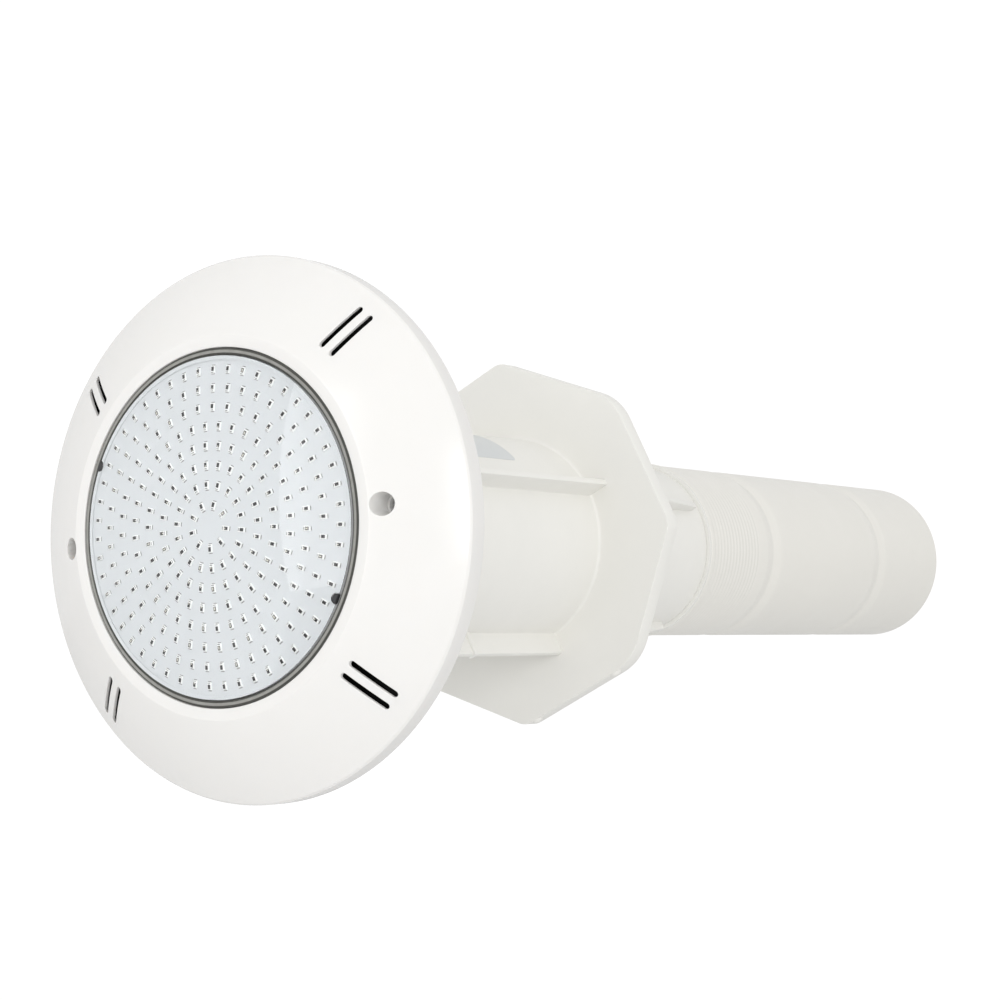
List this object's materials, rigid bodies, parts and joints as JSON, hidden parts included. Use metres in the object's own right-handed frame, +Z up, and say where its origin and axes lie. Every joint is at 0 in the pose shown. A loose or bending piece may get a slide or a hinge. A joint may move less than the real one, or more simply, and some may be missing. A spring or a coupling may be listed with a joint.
{
  "type": "underwater pool light with wall niche",
  "caption": "Flat round underwater LED light with a domed faceplate, screwed to a concrete-pool niche with a water-stop flange and a screw-on extension tube.",
  "frame": {"origin": "on the common axis of lamp and niche, in the plane of the niche's mouth, 4.2 mm in front of the finished pool wall, on which the back of the faceplate's rim rests", "axes": "-Y is the way the lamp faces, into the pool; +Y runs back along the niche into the wall; +Z is up; the two fixing screws lie on the X axis"},
  "size_m": [0.23, 0.6442, 0.23],
  "materials": {
    "faceplate_plastic": "glossy moulded ABS, warm white",
    "lens_clear": "clear polycarbonate, polished",
    "gasket_grey": "dark olive-grey ribbed rubber",
    "plug_rubber": "black rubber",
    "resin_clear": "clear potting resin",
    "board_white": "white solder mask on aluminium, faintly blue",
    "potting_resin": "grey potting compound",
    "wire_red": "red wire insulation",
    "wire_black": "black wire insulation",
    "circuit_board": "green circuit board with components",
    "housing_plastic": "white moulded ABS, satin",
    "steel": "stainless steel",
    "brass": "machined brass",
    "gland_plastic": "dark grey moulded polyamide",
    "pale_seal": "translucent pale silicone",
    "niche_plastic": "moulded ABS, slightly translucent warm white",
    "tube_plastic": "thin-walled ABS, slightly translucent greenish white",
    "bracket_plastic": "black glass-filled polyamide",
    "label_film": "blank pale blue-grey label film",
    "led_package": "white LED packages",
    "led_die": "dark LED windows"
  },
  "bodies": {
    "niche": {"niche_bracket": "bracket_plastic", "bracket_insert_right": "brass", "bracket_insert_left": "brass", "niche_body": "niche_plastic", "neck_seal": "plug_rubber"},
    "lamp": {"faceplate": "faceplate_plastic", "lens": "lens_clear", "lens_gasket": "gasket_grey", "fill_plug_upper": "plug_rubber", "fill_plug_lower": "plug_rubber", "front_resin": "resin_clear", "led_board": "board_white", "potting": "potting_resin", "lead_positive": "wire_red", "lead_negative": "wire_black", "driver_board": "circuit_board", "lamp_housing": "housing_plastic", "housing_screw_1": "steel", "housing_screw_2": "steel", "housing_screw_3": "steel", "housing_screw_4": "steel", "lamp_gland_washer": "plug_rubber", "lamp_gland_body": "gland_plastic", "lamp_gland_grommet": "plug_rubber"},
    "right_washer": {"screw_washer_right": "plug_rubber"},
    "right_screw": {"fixing_screw_right": "steel"},
    "left_washer": {"screw_washer_left": "plug_rubber"},
    "left_screw": {"fixing_screw_left": "steel"},
    "lamp_gland_ring": {"lamp_gland_slip_ring": "pale_seal"},
    "lamp_gland_nut": {"lamp_gland_nut": "gland_plastic"},
    "tube_seal": {"tube_seal": "pale_seal"},
    "tube": {"extension_tube": "tube_plastic", "rear_cap": "niche_plastic", "conduit_gland_washer": "plug_rubber", "conduit_gland_body": "gland_plastic", "conduit_gland_grommet": "plug_rubber", "conduit_gland_locknut": "gland_plastic"},
    "conduit_gland_ring": {"conduit_gland_slip_ring": "pale_seal"},
    "conduit_gland_nut": {"conduit_gland_nut": "gland_plastic"}
  },
  "joints": [
    {"name": "lamp_pull_out", "type": "slide", "parent": "niche", "child": "lamp", "axis": [0, -1, 0], "range_m": [0, 0.12]},
    {"name": "right_washer_travel", "type": "slide", "parent": "lamp", "child": "right_washer", "axis": [0, -1, 0], "range_m": [0, 0.0112]},
    {"name": "right_screw_turn", "type": "hinge", "parent": "right_washer", "child": "right_screw", "pos_m": [0.0844, 0, 0], "axis": [0, -1, 0], "range_deg": [0, 5760]},
    {"name": "left_washer_travel", "type": "slide", "parent": "lamp", "child": "left_washer", "axis": [0, -1, 0], "range_m": [0, 0.0112]},
    {"name": "left_screw_turn", "type": "hinge", "parent": "left_washer", "child": "left_screw", "pos_m": [-0.0844, 0, 0], "axis": [0, -1, 0], "range_deg": [0, 5760]},
    {"name": "lamp_gland_ring_travel", "type": "slide", "parent": "lamp", "child": "lamp_gland_ring", "axis": [0, 1, 0], "range_m": [0, 0.0045]},
    {"name": "lamp_gland_nut_turn", "type": "hinge", "parent": "lamp_gland_ring", "child": "lamp_gland_nut", "pos_m": [0, 0.02, 0], "axis": [0, 1, 0], "range_deg": [0, 1080]},
    {"name": "tube_seal_travel", "type": "slide", "parent": "niche", "child": "tube_seal", "axis": [0, 1, 0], "range_m": [0, 0.04]},
    {"name": "extension_tube_turn", "type": "hinge", "parent": "tube_seal", "child": "tube", "pos_m": [0, 0.4, 0], "axis": [0, 1, 0], "range_deg": [0, 3600]},
    {"name": "conduit_gland_ring_travel", "type": "slide", "parent": "tube", "child": "conduit_gland_ring", "axis": [0, 1, 0], "range_m": [0, 0.0045]},
    {"name": "conduit_gland_nut_turn", "type": "hinge", "parent": "conduit_gland_ring", "child": "conduit_gland_nut", "pos_m": [0, 0.6, 0], "axis": [0, 1, 0], "range_deg": [0, 1080]}
  ],
  "couplings": [
    {"joint": "right_screw_turn", "follows": "right_washer_travel", "rad_per_m": 8976},
    {"joint": "left_screw_turn", "follows": "left_washer_travel", "rad_per_m": 8976},
    {"joint": "lamp_gland_nut_turn", "follows": "lamp_gland_ring_travel", "rad_per_m": 4188.8},
    {"joint": "extension_tube_turn", "follows": "tube_seal_travel", "rad_per_m": 1570.8},
    {"joint": "conduit_gland_nut_turn", "follows": "conduit_gland_ring_travel", "rad_per_m": 4188.8}
  ]
}
